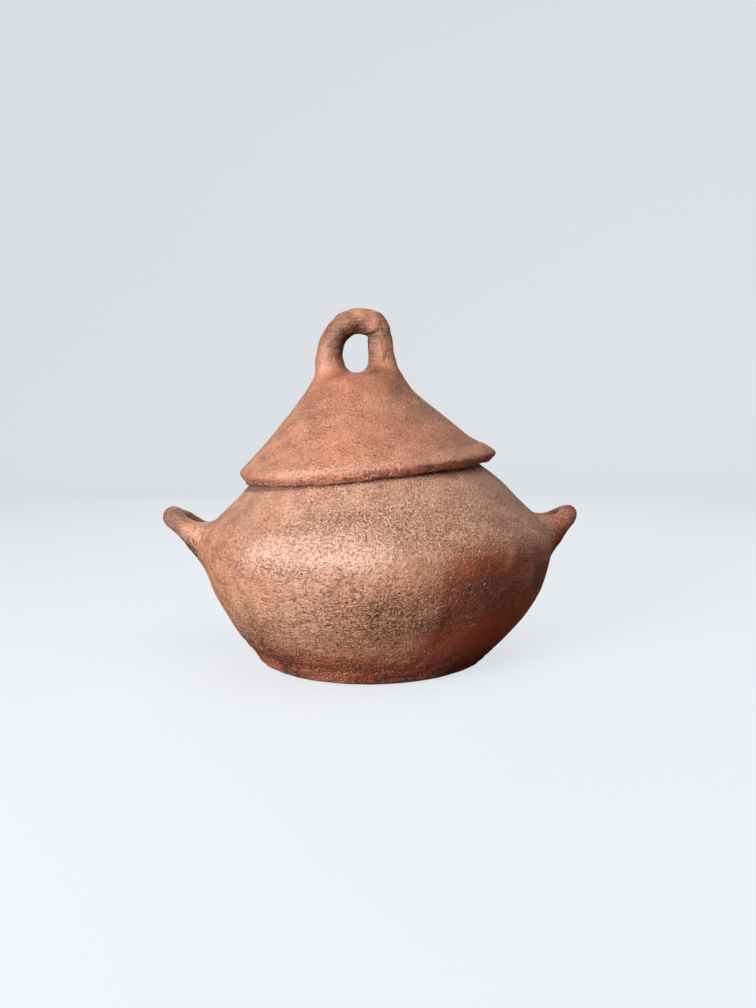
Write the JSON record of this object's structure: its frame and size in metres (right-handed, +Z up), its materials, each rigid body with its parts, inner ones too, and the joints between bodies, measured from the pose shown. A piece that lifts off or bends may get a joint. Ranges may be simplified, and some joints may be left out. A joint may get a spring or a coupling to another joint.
{
  "type": "lidded clay cooking pot",
  "caption": "Hand-built clay cooking pot with a round belly, rope handles and a lift-off conical lid with a rope loop.",
  "frame": {"origin": "centre of the flat face that the pot stands on", "axes": "+Z up; +X from the left handle to the right handle, the longest extent; -Y is the front"},
  "size_m": [0.2868, 0.238, 0.2382],
  "materials": {
    "pot_clay": "unglazed, scraped and lightly burnished, coarse grit, fire clouds near the foot",
    "lid_clay": "unglazed, smoothed by hand, fine grit"
  },
  "bodies": {
    "pot": {"pot_body": "pot_clay", "handle_left": "pot_clay", "handle_right": "pot_clay"},
    "lid": {"lid_cone": "lid_clay", "lid_loop": "lid_clay"}
  },
  "joints": [
    {"name": "lid_lift", "type": "slide", "parent": "pot", "child": "lid", "axis": [0, 0, 1], "range_m": [0, 0.15]}
  ]
}
